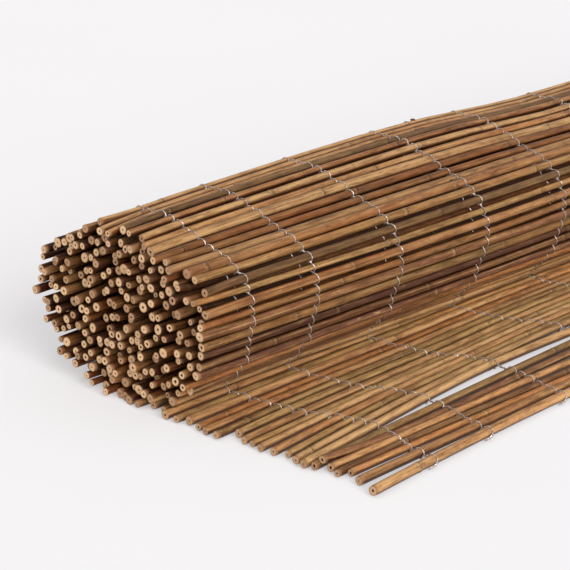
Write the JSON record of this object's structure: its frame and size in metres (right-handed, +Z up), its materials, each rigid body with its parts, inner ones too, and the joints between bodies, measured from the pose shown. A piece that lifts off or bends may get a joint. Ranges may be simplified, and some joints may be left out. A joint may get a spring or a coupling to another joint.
{
  "type": "bamboo screening roll",
  "caption": "Roll of thin bamboo canes wired side by side into a screening mat, lying on the floor with its free end unrolled as a flap.",
  "frame": {"origin": "on the floor, under the middle of the canes and midway between the flap's free edge and the back of the roll", "axes": "+X along the canes, away from the end that the picture shows; +Z up; the flap lies towards -Y and the roll towards +Y"},
  "size_m": [1.216, 0.4193, 0.173],
  "materials": {
    "bamboo": "satin natural cane",
    "wire": "dull galvanised"
  },
  "bodies": {
    "root": {"flap_canes": "bamboo", "roll_turn_1": "bamboo", "roll_turn_2": "bamboo", "roll_turn_3": "bamboo", "roll_turn_4": "bamboo", "roll_turn_5": "bamboo", "roll_turn_6": "bamboo", "roll_turn_7": "bamboo", "wire_row_1": "wire", "wire_row_2": "wire", "wire_row_3": "wire", "wire_row_4": "wire", "wire_row_5": "wire", "wire_row_6": "wire", "wire_row_7": "wire", "wire_row_8": "wire", "wire_row_9": "wire", "wire_row_10": "wire", "wire_row_11": "wire"}
  },
  "joints": []
}
